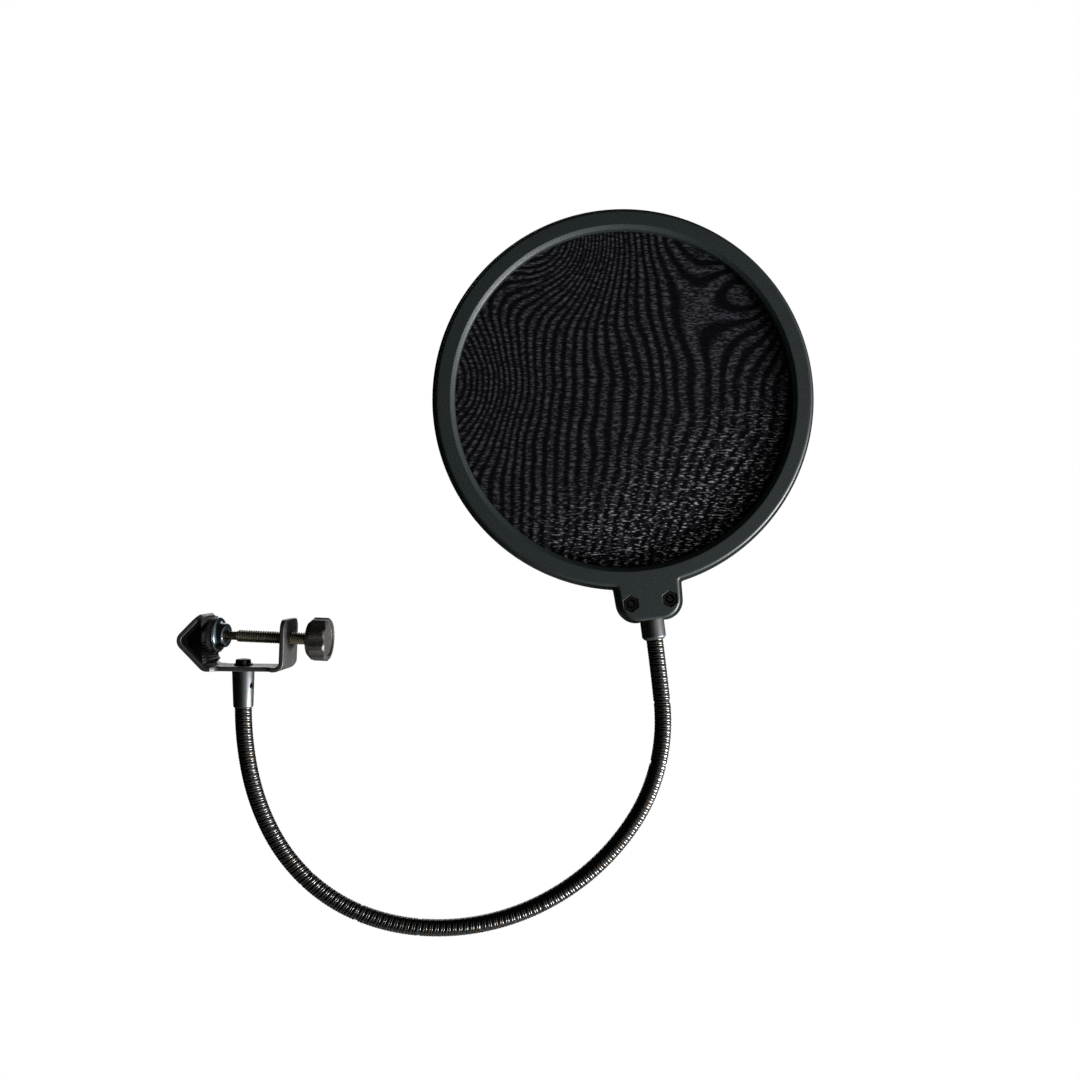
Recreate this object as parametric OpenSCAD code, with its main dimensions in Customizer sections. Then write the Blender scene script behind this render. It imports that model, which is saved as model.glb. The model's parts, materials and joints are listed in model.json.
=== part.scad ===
// Clamp-on pop filter: a round two-layer screen on a bendable neck, held by a screw clamp.
// The origin is in the valley of the jaw, halfway along it. +Z is up, the screen faces -Y,
// and the neck, at rest, lies in a plane parallel to XZ.

/* [Hoop] */
// Outside diameter of the front hoop
hoop_d = 154; // [120:1:200]
// How far the rear hoop stands out past the front one, all round
rear_lip = 1.5; // [0.5:0.1:3]
// Width of the front hoop's face, from its edge to the clear screen
rim_w = 8; // [6:0.5:14]
// Depth of each hoop, from its face to the parting plane
hoop_depth = 6; // [5.5:0.5:10]
// Thickness of the cloth of one screen
cloth_t = 0.3; // [0.2:0.05:0.5]
// Distance between the two screens
screen_gap = 1.8; // [1:0.2:3]

/* [Tab] */
// How far the tab stands out below the front hoop
tab_out = 15; // [13:0.5:20]
// Width of the front tab
tab_w = 23.8; // [23:0.1:28]
// Distance between the two tab screws
tab_screw_gap = 16; // [15:0.5:16.5]
// Diameter of the tab screws
tab_screw_d = 3; // [2:0.5:3]

/* [Neck] */
// Outside diameter of the neck
neck_d = 7; // [6:0.1:7.4]
// Diameter of the hollow inside the neck
neck_bore = 3.6; // [2:0.2:5]
// Length of each neck section along its curve
section_l = 25.8; // [20:0.1:30]
// Bend of each section at rest in degrees, from the clamp up to the hoop
bends = [11, 15.5, 20, 21, 18, 15.5, 15.5, 15, 15.5, 20, 19, 1.5];
// Length of the ferrule under the clamp
ferrule_l = 15.3; // [15.3:0.1:25]
// Diameter of that ferrule at its top
ferrule_d = 9.1; // [9:0.1:12]
// Diameter of the ferrule at the hoop
tang_d = 9.9; // [9:0.1:10.4]

/* [Clamp] */
// Angle of the clamp to the neck, about the swivel bolt
clamp_yaw = 5.5; // [0:0.5:30]
// Width of the jaw and the arm
jaw_w = 20; // [17:1:26]
// Width of the base between them
base_w = 15; // [10:1:15]
// Thickness of the clamp's steel strap
strap_t = 1.9; // [1.5:0.1:3]
// Thickness of the jaw's rubber liner, ridges left out
liner_t = 1.5; // [0.8:0.1:2]
// Distance from the jaw's valley to the swivel bolt
reach = 21.5; // [20:0.5:30]
// Height of the jaw's valley over the underside of the base
valley_h = 12.5; // [10:0.5:16]
// Angle by which the arm leans outward
arm_lean = 2; // [0:0.5:5]

/* [Screw] */
// Diameter of the clamp screw
screw_d = 5; // [4:0.5:6]
// Largest diameter of the knob
knob_d = 17.8; // [14:0.1:24]
// Length of the knob
knob_l = 8.6; // [7:0.1:14]
// Number of flutes round the knob
knob_flutes = 9; // [5:1:12]
// Diameter of the pad
pad_d = 14; // [10:0.5:14]
// Angle by which the pad hangs askew at rest
pad_yaw = 7; // [0:1:8]

/* [Hidden] */
$fn = 64;
eps = 0.01;
slip = 0.05;

// Colours
black_plastic = "#26282a";
black_steel = "#202124";
black_nickel = "#3a3d42";
rubber = "#1b1b1c";
plain_steel = "#8a8678";
nylon = "#18191b";

// Hoop, in its own frame: the axis is Z, the face is at -hoop_depth, and +Y points down the tab
front_r = hoop_d / 2;
rear_r = front_r + rear_lip;
clear_r = front_r - rim_w;
tab_reach = front_r + tab_out;
seat_r = front_r - 2;
half_gap = screen_gap / 2;
seat_z = half_gap + cloth_t;
face_round = 1.2;
lip_chamfer = 1.6;
tab_corner = 8;
tab_taper = 1.2;
screw_row = tab_reach - 8.6;
tang_in = 14;
tang_edge = 0.9;
tang_clear = 0.1;
hole_clear = 0.1;
screen_clear = 0.2;
nut_af = 5.5;
nut_t = 2.4;
nut_set_back = 1.1;
pocket_af = 5.9;
pocket_depth = 3.6;
head_pocket_d = 6.4;
head_pocket_depth = 2.4;
head_d = 5.6;
head_h = 1.8;
head_edge = 0.5;
slot_w = 0.6;
slot_l = 2.8;
slot_depth = 0.9;

// Neck, in the plane of its curve, with the swivel axis at x = 0 and the base's underside at z = 0
sections = len(bends);
ball_clear = 0.2;
seat_clear = 0.1;
neck_grip = 7;
grip_root = 0.5;
bore_over = 5;
// Direction of the neck before section k, in degrees from straight down
function turned(k) = k == 0 ? 0 : turned(k - 1) + bends[k - 1];
// Radius of the curve of section k
function curve_r(k) = section_l / (bends[k] * PI / 180);
// Chord of section k
function chord(k) = 2 * curve_r(k) * sin(bends[k] / 2);
// Start of section k
function knot(k) = k == 0 ? [0, -ferrule_l] :
    knot(k - 1) + chord(k - 1) * [sin(turned(k - 1) + bends[k - 1] / 2),
                                  -cos(turned(k - 1) + bends[k - 1] / 2)];
top_turn = turned(sections);
top_knot = knot(sections);
// Distance from the hoop's centre to the neck's upper end, along the tab
hoop_to_neck = tab_reach + 7.4;
hoop_at = top_knot + hoop_to_neck * [sin(top_turn), -cos(top_turn)];

// Clamp, in its own frame: the swivel axis is at x = 0 and the base's underside at z = 0
bend_r = 2.2;
join = 0.02;
jaw_leg = 15.2;
jaw_skin = strap_t + liner_t;
corner_x = -reach - jaw_skin * sqrt(2);
arm_x = 17.7;
arm_corner = 4;
foot_x = corner_x + valley_h;
liner_short = 0.4;
liner_inset = 0.3;
liner_fill = 1.8;
ridges = 6;
ridge_start = 5;
ridge_pitch = 1.4;
ridge_h = 0.4;
screw_h = valley_h + 1.4;
arm_h = screw_h + 7.3;
bolt_d = 4;
bolt_head_d = 6.5;
bolt_head_h = 1.8;
bolt_edge = 0.4;
bolt_socket_af = 2.5;
bolt_depth = 8;
washer_d = 7.7;
washer_t = 0.7;
bolt_gap = 0.3;
grub_d = 2.5;
grub_sunk = 0.5;
grub_socket_af = 1.3;
grub_socket_depth = 1;
grub_drop = 6.3;
grub_turn = -25;

// Screw, in its own frame: x runs along the screw from the pad to the knob
pad_x = 8.3 - reach;
pad_t = 2.3;
shoe_flange_t = 0.7;
shoe_flare = 1.3;
rim_over = 0.4;
shoe_rim = 0.7;
hub_d = 9;
hub_edge = 0.8;
hub_end = pad_x + 6.6;
ball_x = pad_x + 4.9;
ball_d = screw_d - 0.4;
ball_flat = 1.2;
screw_neck_d = screw_d - 1.5;
hub_hole_d = screw_neck_d + 0.7;
thread_lead = 0.7;
screw_seat = 3;
thread_x = ball_x + 5.7;
knob_x = 27.6;
knob_chamfer = 2.2;
knob_rim_chamfer = 0.8;
knob_recess_d = knob_d - 4.2;
knob_recess = 0.8;
flute_r = 4;
flute_depth = 0.7;

// Places
module at_post() {
    translate([reach * cos(clamp_yaw), -reach * sin(clamp_yaw), -valley_h]) children();
}
module in_clamp() {
    at_post() rotate([0, 0, -clamp_yaw]) children();
}
module in_screw() {
    in_clamp() translate([0, 0, screw_h]) rotate([0, arm_lean, 0]) children();
}
module in_pad() {
    in_screw() translate([ball_x, 0, 0]) rotate([0, 0, -pad_yaw])
        translate([-ball_x, 0, 0]) children();
}
module in_hoop() {
    at_post() translate([hoop_at[0], 0, hoop_at[1]])
        rotate([0, 180 - top_turn, 0]) rotate([-90, 0, 0]) children();
}
// Rod or disc along x, from x0 to x1, with diameters d0 and d1 at its ends
module rod(x0, x1, d0, d1) {
    translate([x0, 0, 0]) rotate([0, 90, 0]) cylinder(h = x1 - x0, d1 = d0, d2 = d1);
}

// Clamp
module bend(radius, thickness, from, to) {
    intersection() {
        difference() {
            circle(r = radius + thickness);
            circle(r = radius);
        }
        polygon([[0, 0], 20 * [cos(from), sin(from)],
            20 * [cos((from + to) / 2), sin((from + to) / 2)], 20 * [cos(to), sin(to)]]);
    }
}
module strap_outline() {
    outer = bend_r + strap_t;
    foot_tangent = outer * tan(22.5);
    arm_tangent = outer * tan((90 - arm_lean) / 2);
    arm_outer = arm_x + strap_t;
    // upper leg, bend at the corner, lower leg
    translate([corner_x, valley_h]) {
        rotate(45) translate([outer - join, -strap_t]) square([jaw_leg - outer + join, strap_t]);
        rotate(-45) translate([outer - join, 0])
            square([valley_h * sqrt(2) - outer - foot_tangent + 2 * join, strap_t]);
        translate([outer * sqrt(2), 0]) bend(bend_r, strap_t, 135, 225);
    }
    // bend at the foot, base, bend at the arm, arm
    translate([foot_x + foot_tangent, outer]) bend(bend_r, strap_t, 225, 270);
    translate([foot_x + foot_tangent - join, 0])
        square([arm_outer - arm_tangent - foot_x - foot_tangent + 2 * join, strap_t]);
    translate([arm_outer - arm_tangent, outer]) bend(bend_r, strap_t, 270, 360 - arm_lean);
    translate([arm_outer, 0]) rotate(-arm_lean) translate([-strap_t, arm_tangent - join])
        square([strap_t, arm_h / cos(arm_lean) - arm_tangent + join]);
}
// Plan of the strap: wide at the jaw and the arm, with a waist round the bolt
module strap_plan() {
    waist_l = arm_x - strap_t - foot_x - 5;
    waist_mid = (arm_x + foot_x) / 2;
    cut = (jaw_w - base_w) / 2;
    difference() {
        translate([-40, -jaw_w / 2]) square([80, jaw_w]);
        for (side = [-1, 1]) translate([waist_mid, side * jaw_w / 2]) {
            square([waist_l - 2 * cut, 2 * cut], center = true);
            for (end = [-1, 1]) translate([end * (waist_l / 2 - cut), 0]) circle(r = cut);
        }
    }
}
// Rounds one corner of a plate that lies in XY and is centred in Z
module corner_cut(radius, thickness) {
    difference() {
        translate([-eps, -eps, -thickness / 2]) cube([radius + 1, radius + 1, thickness]);
        translate([0, 0, -thickness]) cylinder(r = radius, h = 2 * thickness);
    }
}
module clamp_bracket() {
    color(black_steel) in_clamp() difference() {
        intersection() {
            translate([0, jaw_w / 2, 0]) rotate([90, 0, 0]) linear_extrude(jaw_w) strap_outline();
            translate([0, 0, -1]) linear_extrude(arm_h + 10) strap_plan();
        }
        for (side = [-1, 1]) {
            // corners of the arm
            translate([arm_x + 1, side * (jaw_w / 2 - arm_corner), arm_h - arm_corner])
                rotate([0, arm_lean, 0]) rotate([90, 0, 90]) mirror([side < 0 ? 1 : 0, 0, 0])
                corner_cut(arm_corner, 8);
            // corners of the jaw's upper leg
            translate([corner_x, side * (jaw_w / 2 - arm_corner), valley_h]) rotate([0, -45, 0])
                translate([jaw_leg - arm_corner, 0, 0]) mirror([0, side < 0 ? 1 : 0, 0])
                corner_cut(arm_corner, 8);
        }
        // hole for the screw, and hole for the swivel bolt
        translate([0, 0, screw_h]) rotate([0, arm_lean, 0])
            rod(arm_x - 4, arm_x + 6, screw_d + 2 * slip, screw_d + 2 * slip);
        translate([0, 0, -1]) cylinder(h = strap_t + 2, d = bolt_d + 2 * slip);
    }
}
// Liner, from the inside corner of the strap: two legs, the bend between them, and the flat that
// fills the inside corner
module liner_outline() {
    upper_l = jaw_leg - strap_t - liner_short;
    lower_l = (valley_h - strap_t) * sqrt(2) - bend_r * tan(22.5) - liner_short;
    rotate(45) translate([bend_r - join, -liner_t]) square([upper_l - bend_r + join, liner_t]);
    rotate(-45) translate([bend_r - join, 0]) square([lower_l - bend_r + join, liner_t]);
    translate([bend_r * sqrt(2), 0]) bend(bend_r - liner_t, liner_t, 135, 225);
    corner = liner_t * sqrt(2);
    polygon([[corner - liner_t / 2, 0], [corner + liner_fill, -liner_fill - liner_t / 8],
        [corner + liner_fill, liner_fill + liner_t / 8]]);
    for (side = [-1, 1], i = [0 : ridges - 1])
        rotate(45 * side) translate([ridge_start + i * ridge_pitch, -side * liner_t])
        circle(r = ridge_h, $fn = 24);
}
module jaw_liner() {
    liner_w = jaw_w - 2 * liner_inset;
    color(rubber) in_clamp() translate([corner_x + (strap_t + join) * sqrt(2), liner_w / 2, valley_h])
        rotate([90, 0, 0]) linear_extrude(liner_w) liner_outline();
}

// Pad and screw
// A body turned about x, from the points [x, radius] of its outline
module turned_x(points) {
    rotate([0, 90, 0]) rotate_extrude() polygon([for (p = points) [p[1], p[0]]]);
}
module ball(d) {
    translate([ball_x, 0, 0]) rotate([0, 90, 0]) sphere(d = d);
}
module ball_tip() {
    color(plain_steel) in_screw() difference() {
        ball(ball_d);
        rod(ball_x + ball_flat, ball_x + ball_d, ball_d + 1, ball_d + 1);
    }
}
module pad_shoe() {
    flange_x = pad_x + pad_t;
    flare_x = flange_x + shoe_flange_t;
    flange_r = (pad_d + rim_over) / 2;
    hub_r = hub_d / 2;
    color(black_nickel) in_pad() difference() {
        turned_x([[flange_x, 0], [flange_x, flange_r], [flare_x, flange_r],
            [flare_x, flange_r - shoe_rim], [flare_x + shoe_flare, hub_r],
            [hub_end - hub_edge, hub_r], [hub_end, hub_r - hub_edge], [hub_end, 0]]);
        ball(ball_d + 2 * slip);
        rod(ball_x, hub_end + 1, hub_hole_d, hub_hole_d);
    }
}
module pad_face() {
    edge = 0.4;
    color(rubber) in_pad() union() {
        rod(pad_x, pad_x + edge, pad_d - 2 * edge, pad_d);
        rod(pad_x + edge, pad_x + pad_t, pad_d, pad_d);
    }
}
module clamp_screw() {
    color(plain_steel) in_screw() union() {
        rod(ball_x + ball_flat + slip, thread_x, screw_neck_d, screw_neck_d);
        rod(thread_x, thread_x + thread_lead, screw_neck_d, screw_d);
        rod(thread_x + thread_lead, knob_x + knob_l - screw_seat, screw_d, screw_d);
    }
}
module knob() {
    knob_end = knob_x + knob_l;
    knob_r = knob_d / 2;
    inner_edge = knob_x + knob_chamfer;
    outer_edge = knob_end - knob_rim_chamfer;
    color(black_plastic) in_screw() difference() {
        turned_x([[knob_x, 0], [knob_x, knob_r - knob_chamfer], [inner_edge, knob_r],
            [outer_edge, knob_r], [knob_end, knob_r - knob_rim_chamfer], [knob_end, 0]]);
        for (i = [0 : knob_flutes - 1]) rotate([360 * (i + 0.5) / knob_flutes, 0, 0])
            translate([0, 0, knob_r + flute_r - flute_depth])
            rod(knob_x - 1, knob_end + 1, 2 * flute_r, 2 * flute_r);
        rod(knob_end - knob_recess, knob_end + 1, knob_recess_d, knob_recess_d);
        rod(knob_x - 1, knob_end - screw_seat + slip, screw_d, screw_d);
    }
}

// Swivel
module pivot_bolt() {
    head_z = strap_t + slip + washer_t;
    color(black_steel) at_post() difference() {
        union() {
            translate([0, 0, -bolt_depth]) cylinder(h = bolt_depth + head_z, d = bolt_d);
            translate([0, 0, head_z]) cylinder(h = bolt_head_h - bolt_edge, d = bolt_head_d);
            translate([0, 0, head_z + bolt_head_h - bolt_edge])
                cylinder(h = bolt_edge, d1 = bolt_head_d, d2 = bolt_head_d - 2 * bolt_edge);
        }
        translate([0, 0, head_z + bolt_head_h / 3])
            cylinder(h = bolt_head_h, d = bolt_socket_af / cos(30), $fn = 6);
    }
}
module pivot_washer() {
    color(black_steel) at_post() translate([0, 0, strap_t + slip]) difference() {
        cylinder(h = washer_t, d = washer_d);
        translate([0, 0, -1]) cylinder(h = washer_t + 2, d = bolt_d + 0.2);
    }
}
module bottom_ferrule() {
    lower_d = ferrule_d - 1;
    edge = 0.5;
    bolt_hole_h = bolt_depth + bolt_gap;
    color(black_nickel) at_post() difference() {
        union() {
            translate([0, 0, -ferrule_l]) cylinder(h = edge, d1 = lower_d - 2 * edge, d2 = lower_d);
            translate([0, 0, -ferrule_l + edge])
                cylinder(h = ferrule_l - edge - slip, d1 = lower_d, d2 = ferrule_d);
        }
        translate([0, 0, -bolt_hole_h]) cylinder(h = bolt_hole_h + 1, d = bolt_d + 2 * slip);
        translate([0, 0, -ferrule_l - 1])
            cylinder(h = neck_grip + bolt_gap + 1, d = neck_d + 2 * slip);
        rotate([0, 0, grub_turn]) translate([0, 0, -grub_drop])
            rod(0, ferrule_d, grub_d + 2 * slip, grub_d + 2 * slip);
    }
}
module grub_screw() {
    grub_end = ferrule_d / 2 - grub_sunk;
    socket_d = grub_socket_af / cos(30);
    color(black_steel) at_post() rotate([0, 0, grub_turn]) translate([0, 0, -grub_drop]) difference() {
        rod(bolt_d / 2 + slip, grub_end, grub_d, grub_d);
        rod(grub_end - grub_socket_depth, grub_end + 1, socket_d, socket_d);
    }
}

// Neck: each section is an arc of tube with a ball end, which sits in the next section's seat
module neck_arc(k, d, before, after) {
    r = curve_r(k);
    spare = before / r * 180 / PI;
    sweep = bends[k] + (before + after) / r * 180 / PI;
    start = turned(k);
    centre = knot(k) + r * [cos(start), sin(start)];
    translate([centre[0], 0, centre[1]]) rotate([90, 0, 0]) rotate(start + 180 - spare)
        rotate_extrude(angle = sweep, $fn = ceil(360 * 10 / sweep)) translate([r, 0])
        circle(d = d, $fn = 40);
}
module at_knot(k) {
    translate([knot(k)[0], 0, knot(k)[1]]) children();
}
// The straight end inside a ferrule, which starts a little way back inside the arc
module neck_straight(k, d, length) {
    away = k == 0 ? 0 : 180 - turned(k);
    at_knot(k) rotate([0, away, 0]) translate([0, 0, -grip_root])
        cylinder(h = grip_root + length, d = d);
}
module neck_section(k) {
    first = k == 0;
    last = k == sections - 1;
    end_d = neck_d - 2 * slip;
    end_bore = neck_bore + 2 * slip;
    color(black_nickel) at_post() difference() {
        union() {
            neck_arc(k, neck_d, 0, 0);
            if (first) neck_straight(0, end_d, neck_grip);
            if (last) neck_straight(sections, end_d, neck_grip);
            if (!last) at_knot(k + 1) sphere(d = neck_d - 2 * ball_clear);
        }
        neck_arc(k, neck_bore, first ? 0 : bore_over, last ? 0 : bore_over);
        if (first) neck_straight(0, end_bore, neck_grip + 1);
        if (last) neck_straight(sections, end_bore, neck_grip + 1);
        if (!first) at_knot(k) sphere(d = neck_d + 2 * seat_clear);
    }
}

// Hoop
module revolve(points) {
    rotate_extrude($fn = 180) polygon(points);
}
// A quarter round in a revolved outline, about centre, from angle a to angle a + 90
function quarter(centre, r, a) =
    [for (i = [0 : 4]) centre + r * [cos(a + 22.5 * i), sin(a + 22.5 * i)]];
module tab_outline(w, taper, reach_down) {
    top_y = clear_r + 4;
    r = tab_corner;
    union() {
        polygon([[-w / 2 - taper, top_y], [w / 2 + taper, top_y],
            [w / 2, reach_down - r], [-w / 2, reach_down - r]]);
        translate([-w / 2 + r, reach_down - r - 1]) square([w - 2 * r, r + 1]);
        for (side = [-1, 1]) translate([side * (w / 2 - r), reach_down - r]) circle(r = r);
    }
}
module tab_holes(d) {
    for (side = [-1, 1]) translate([side * tab_screw_gap / 2, screw_row, -20]) cylinder(h = 40, d = d);
}
module tang_channel() {
    top = tab_reach - tang_in - tang_clear;
    translate([0, top, 0]) rotate([-90, 0, 0]) cylinder(h = 40, d = tang_d + 2 * tang_clear);
}
module front_hoop() {
    face = -hoop_depth;
    color(black_plastic) in_hoop() difference() {
        union() {
            revolve(concat(
                [[clear_r, face + lip_chamfer * 0.7], [clear_r + lip_chamfer, face]],
                quarter([front_r - face_round, face + face_round], face_round, -90),
                [[front_r, 0], [seat_r, 0], [seat_r, -seat_z], [clear_r, -seat_z]]));
            translate([0, 0, face]) linear_extrude(hoop_depth) difference() {
                tab_outline(tab_w, tab_taper, tab_reach - 1);
                circle(r = seat_r + 1, $fn = 180);
            }
        }
        tab_holes(tab_screw_d + 2 * hole_clear);
        for (side = [-1, 1]) translate([side * tab_screw_gap / 2, screw_row, face - eps])
            rotate(30) cylinder(h = pocket_depth, d = pocket_af / cos(30), $fn = 6);
        tang_channel();
    }
}
module rear_hoop() {
    color(black_plastic) in_hoop() difference() {
        union() {
            revolve(concat(
                [[clear_r, seat_z], [seat_r, seat_z], [seat_r, 0], [rear_r, 0]],
                quarter([rear_r - face_round, hoop_depth - face_round], face_round, 0),
                [[clear_r + lip_chamfer, hoop_depth], [clear_r, hoop_depth - lip_chamfer * 0.7]]));
            linear_extrude(hoop_depth) difference() {
                tab_outline(tab_w + 2 * rear_lip, tab_taper, tab_reach);
                circle(r = seat_r + 1, $fn = 180);
            }
        }
        tab_holes(tab_screw_d + 2 * hole_clear);
        for (side = [-1, 1])
            translate([side * tab_screw_gap / 2, screw_row, hoop_depth - head_pocket_depth])
            cylinder(h = 10, d = head_pocket_d);
        tang_channel();
    }
}
module screen(z) {
    color(nylon) in_hoop() translate([0, 0, z])
        cylinder(h = cloth_t, r = seat_r - screen_clear, $fn = 180);
}
module front_screen() {
    screen(-seat_z);
}
module rear_screen() {
    screen(half_gap);
}
module spacer_ring() {
    color(black_plastic) in_hoop() translate([0, 0, -half_gap]) difference() {
        cylinder(h = screen_gap, r = seat_r - screen_clear, $fn = 180);
        translate([0, 0, -1]) cylinder(h = screen_gap + 2, r = clear_r, $fn = 180);
    }
}
module top_ferrule() {
    length = hoop_to_neck - tab_reach + tang_in;
    color(black_nickel) in_hoop() translate([0, hoop_to_neck - length, 0]) rotate([-90, 0, 0])
    difference() {
        union() {
            cylinder(h = length - tang_edge, d = tang_d);
            translate([0, 0, length - tang_edge])
                cylinder(h = tang_edge, d1 = tang_d, d2 = tang_d - 2 * tang_edge);
        }
        translate([0, 0, length - neck_grip - bolt_gap])
            cylinder(h = neck_grip + 1, d = neck_d + 2 * slip);
    }
}
module tab_screws() {
    head_z = hoop_depth - head_pocket_depth;
    tip_z = -hoop_depth + nut_set_back - 0.3;
    color(black_steel) in_hoop() for (side = [-1, 1])
        translate([side * tab_screw_gap / 2, screw_row, 0]) difference() {
            union() {
                translate([0, 0, tip_z]) cylinder(h = head_z - tip_z + eps, d = tab_screw_d);
                translate([0, 0, head_z]) cylinder(h = head_h - head_edge, d = head_d);
                translate([0, 0, head_z + head_h - head_edge])
                    cylinder(h = head_edge, d1 = head_d, d2 = head_d - 2 * head_edge);
            }
            for (turn = [0, 90]) rotate(turn)
                translate([-slot_l / 2, -slot_w / 2, head_z + head_h - slot_depth])
                cube([slot_l, slot_w, slot_depth + 1]);
        }
}
module tab_nuts() {
    hole_d = tab_screw_d + 2 * slip;
    lead = 0.4;
    color(black_steel) in_hoop() for (side = [-1, 1])
        translate([side * tab_screw_gap / 2, screw_row, -hoop_depth + nut_set_back]) difference() {
            rotate(30) cylinder(h = nut_t, d = nut_af / cos(30), $fn = 6);
            translate([0, 0, -1]) cylinder(h = nut_t + 2, d = hole_d);
            translate([0, 0, -eps]) cylinder(h = lead, d1 = hole_d + 2 * lead, d2 = hole_d);
        }
}

clamp_bracket();
jaw_liner();
ball_tip();
pad_shoe();
pad_face();
clamp_screw();
knob();
pivot_bolt();
pivot_washer();
bottom_ferrule();
grub_screw();
neck_section(0);  // neck_01
neck_section(1);  // neck_02
neck_section(2);  // neck_03
neck_section(3);  // neck_04
neck_section(4);  // neck_05
neck_section(5);  // neck_06
neck_section(6);  // neck_07
neck_section(7);  // neck_08
neck_section(8);  // neck_09
neck_section(9);  // neck_10
neck_section(10);  // neck_11
neck_section(11);  // neck_12
top_ferrule();
front_hoop();
rear_hoop();
front_screen();
rear_screen();
spacer_ring();
tab_screws();
tab_nuts();
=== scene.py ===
# Looks of the clamp-on pop filter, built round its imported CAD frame. Metres, +Z up.
# The screen faces -Y and the camera looks along +Y.
import json
import math

import bmesh
import bpy
import numpy as np
from mathutils import Matrix, Vector


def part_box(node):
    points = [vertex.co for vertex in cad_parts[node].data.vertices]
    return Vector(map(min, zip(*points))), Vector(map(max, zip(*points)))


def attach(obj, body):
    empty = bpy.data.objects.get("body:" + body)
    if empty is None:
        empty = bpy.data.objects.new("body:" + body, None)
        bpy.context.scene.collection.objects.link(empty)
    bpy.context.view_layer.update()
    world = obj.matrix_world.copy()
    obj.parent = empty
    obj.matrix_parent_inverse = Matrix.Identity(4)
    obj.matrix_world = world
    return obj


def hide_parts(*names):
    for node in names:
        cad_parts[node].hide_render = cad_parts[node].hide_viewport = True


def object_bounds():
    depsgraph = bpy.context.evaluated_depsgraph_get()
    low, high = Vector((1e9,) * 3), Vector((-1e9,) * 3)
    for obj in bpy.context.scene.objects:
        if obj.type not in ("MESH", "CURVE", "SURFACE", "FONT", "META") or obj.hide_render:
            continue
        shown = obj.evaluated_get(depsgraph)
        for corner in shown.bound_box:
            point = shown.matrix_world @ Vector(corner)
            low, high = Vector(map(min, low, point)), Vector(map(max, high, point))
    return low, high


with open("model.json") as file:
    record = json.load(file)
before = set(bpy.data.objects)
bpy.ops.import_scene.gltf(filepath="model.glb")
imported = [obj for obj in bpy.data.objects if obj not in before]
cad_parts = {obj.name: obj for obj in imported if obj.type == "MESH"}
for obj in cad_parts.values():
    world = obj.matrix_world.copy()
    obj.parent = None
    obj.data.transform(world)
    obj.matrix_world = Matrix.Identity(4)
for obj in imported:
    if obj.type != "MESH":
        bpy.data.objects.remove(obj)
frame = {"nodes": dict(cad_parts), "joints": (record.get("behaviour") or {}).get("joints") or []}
cad_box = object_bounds()
joints = {j["name"]: j for j in frame["joints"]}
MM = 0.001
TAU = 2 * math.pi
X, Y, Z = Vector((1, 0, 0)), Vector((0, 1, 0)), Vector((0, 0, 1))


# ---- Places, from the frame ----

def place(origin, x, y, z):
    """Matrix of a local frame whose unit is one millimetre."""
    m = Matrix((x, y, z)).transposed().to_4x4()
    m.translation = origin
    return m @ Matrix.Scale(MM, 4)


def middle(node):
    low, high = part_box(node)
    return (Vector(low) + Vector(high)) / 2


swivel_at = Vector(joints["neck_swivel"]["pos_m"])
base_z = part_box("clamp_bracket")[0][2]
post = Vector((swivel_at.x, swivel_at.y, base_z))
POST = place(post, X, Y, Z)

screw_dir = Vector(joints["screw_turn"]["axis"])
screw_up = Vector(joints["pad_tilt"]["axis"])
ball_at = Vector(joints["screw_turn"]["pos_m"])
clamp_dir = Vector((screw_dir.x, screw_dir.y, 0)).normalized()
CLAMP = place(post, clamp_dir, Z.cross(clamp_dir), Z)
SCREW = place(ball_at, screw_dir, screw_up.cross(screw_dir), screw_up)
pad_askew = math.radians(sum(joints["pad_tilt"]["range_deg"]) / 2)
PAD = SCREW @ Matrix.Rotation(-pad_askew, 4, "Z")

hoop_at = middle("spacer_ring")
tab_dir = (middle("top_ferrule") - hoop_at).normalized()
HOOP = place(hoop_at, tab_dir.cross(Y), tab_dir, Y)
front_r = (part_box("front_hoop")[1][0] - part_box("front_hoop")[0][0]) / 2 / MM
rear_r = (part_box("rear_hoop")[1][0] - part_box("rear_hoop")[0][0]) / 2 / MM
hoop_depth = (hoop_at.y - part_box("front_hoop")[0][1]) / MM
screen_r = (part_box("front_screen")[1][0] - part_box("front_screen")[0][0]) / 2 / MM

# The neck's pivots, and the two ends of its coil
chain = ["swivel"] + [f"section_{k:02d}" for k in range(2, 12)] + ["head"]
pivots = [Vector((post.x, post.y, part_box("bottom_ferrule")[0][2]))]
pivots += [Vector(j["pos_m"]) for j in frame["joints"]
           if j["name"].startswith(("neck_bend", "neck_side"))]


# ---- Outlines ----

def fillet(points, radii, steps=5, closed=True):
    """A 2D outline with its corners rounded."""
    out = []
    count = len(points)
    for i, (p, r) in enumerate(zip(points, radii)):
        p = np.array(p, float)
        if r <= 0 or (not closed and i in (0, count - 1)):
            out.append(p)
            continue
        a = np.array(points[i - 1], float) - p
        b = np.array(points[(i + 1) % count], float) - p
        a /= np.linalg.norm(a)
        b /= np.linalg.norm(b)
        half = math.acos(np.clip(a @ b, -1, 1)) / 2
        centre = p + (a + b) / np.linalg.norm(a + b) * r / math.sin(half)
        start, end = p + a * r / math.tan(half) - centre, p + b * r / math.tan(half) - centre
        turn = math.atan2(start[0] * end[1] - start[1] * end[0], start @ end)
        for s in range(steps + 1):
            c, d = math.cos(turn * s / steps), math.sin(turn * s / steps)
            spoke = (start[0] * c - start[1] * d, start[0] * d + start[1] * c)
            out.append(centre + np.array(spoke))
    return out


def arc(centre, radius, start, end, steps):
    """Points of an arc, angles in degrees."""
    angles = np.radians(np.linspace(start, end, steps + 1))
    return [(centre[0] + radius * math.cos(a), centre[1] + radius * math.sin(a)) for a in angles]


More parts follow.
